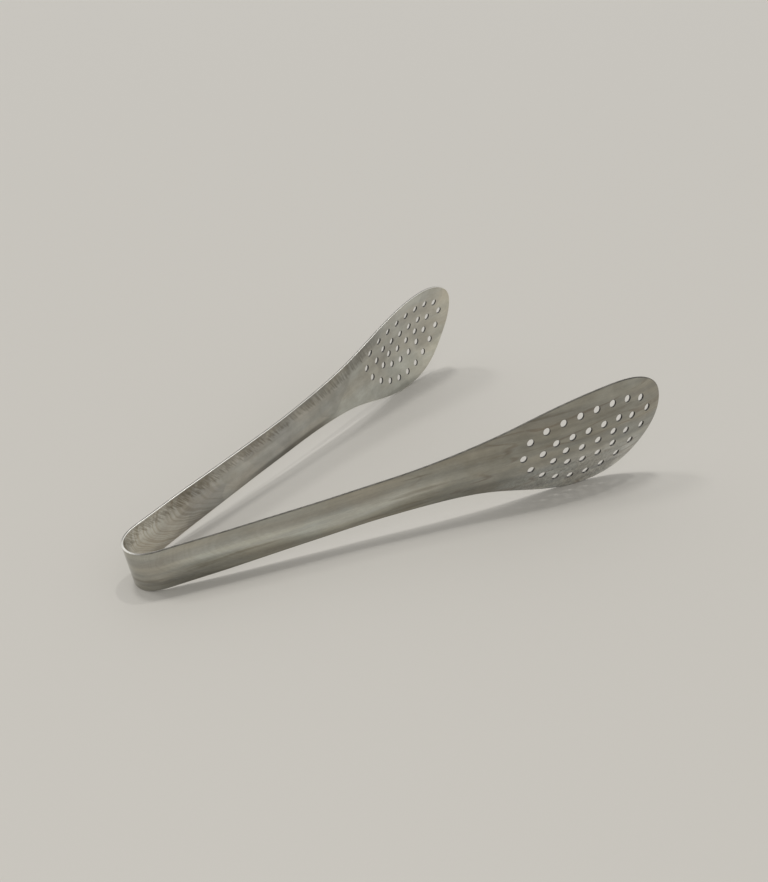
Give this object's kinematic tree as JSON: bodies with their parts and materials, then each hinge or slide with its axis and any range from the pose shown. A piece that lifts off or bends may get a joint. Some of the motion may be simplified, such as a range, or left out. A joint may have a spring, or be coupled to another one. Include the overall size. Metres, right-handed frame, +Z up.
{
  "type": "ice tongs",
  "caption": "Sprung one-strip steel tongs with an open bow and a dished, pierced paddle on each arm, for picking up ice.",
  "frame": {"origin": "centre of the bounding box, on the table that the tongs rest on", "axes": "+X from the bow to the tips, +Y to the left arm, +Z up; the tongs stand on the bow's lower edge and both paddles' lower edges"},
  "size_m": [0.241, 0.1474, 0.0533],
  "materials": {
    "stainless_steel": "polished, with fine lines along the strip"
  },
  "bodies": {
    "crown": {"bow_crown": "stainless_steel"},
    "left_leg": {"bow_leg_left": "stainless_steel"},
    "left_root": {"arm_root_left": "stainless_steel"},
    "left_arm": {"arm_grip_left": "stainless_steel", "paddle_left": "stainless_steel"},
    "right_leg": {"bow_leg_right": "stainless_steel"},
    "right_root": {"arm_root_right": "stainless_steel"},
    "right_arm": {"arm_grip_right": "stainless_steel", "paddle_right": "stainless_steel"}
  },
  "joints": [
    {"name": "left_bow_flex", "type": "hinge", "parent": "crown", "child": "left_leg", "pos_m": [-0.11487, 0.00736, 0.01039], "axis": [0.0855, 0, -0.9963], "range_deg": [0, 5.21], "stiffness_Nm_per_rad": 15},
    {"name": "left_root_flex", "type": "hinge", "parent": "left_leg", "child": "left_root", "pos_m": [-0.08362, 0.01686, 0.01307], "axis": [0.0855, 0, -0.9963], "range_deg": [0, 10.86], "stiffness_Nm_per_rad": 5.3},
    {"name": "left_grip_flex", "type": "hinge", "parent": "left_root", "child": "left_arm", "pos_m": [-0.03271, 0.03098, 0.01743], "axis": [0.0855, 0, -0.9963], "range_deg": [0, 3.58], "stiffness_Nm_per_rad": 6.8},
    {"name": "right_bow_flex", "type": "hinge", "parent": "crown", "child": "right_leg", "pos_m": [-0.11487, -0.00736, 0.01039], "axis": [-0.0855, 0, 0.9963], "range_deg": [0, 5.21], "stiffness_Nm_per_rad": 15},
    {"name": "right_root_flex", "type": "hinge", "parent": "right_leg", "child": "right_root", "pos_m": [-0.08362, -0.01686, 0.01307], "axis": [-0.0855, 0, 0.9963], "range_deg": [0, 10.86], "stiffness_Nm_per_rad": 5.3},
    {"name": "right_grip_flex", "type": "hinge", "parent": "right_root", "child": "right_arm", "pos_m": [-0.03271, -0.03098, 0.01743], "axis": [-0.0855, 0, 0.9963], "range_deg": [0, 3.58], "stiffness_Nm_per_rad": 6.8}
  ],
  "couplings": [
    {"joint": "left_bow_flex", "follows": "left_root_flex", "ratio": 0.48},
    {"joint": "left_grip_flex", "follows": "left_root_flex", "ratio": 0.33},
    {"joint": "right_bow_flex", "follows": "right_root_flex", "ratio": 0.48},
    {"joint": "right_grip_flex", "follows": "right_root_flex", "ratio": 0.33}
  ]
}
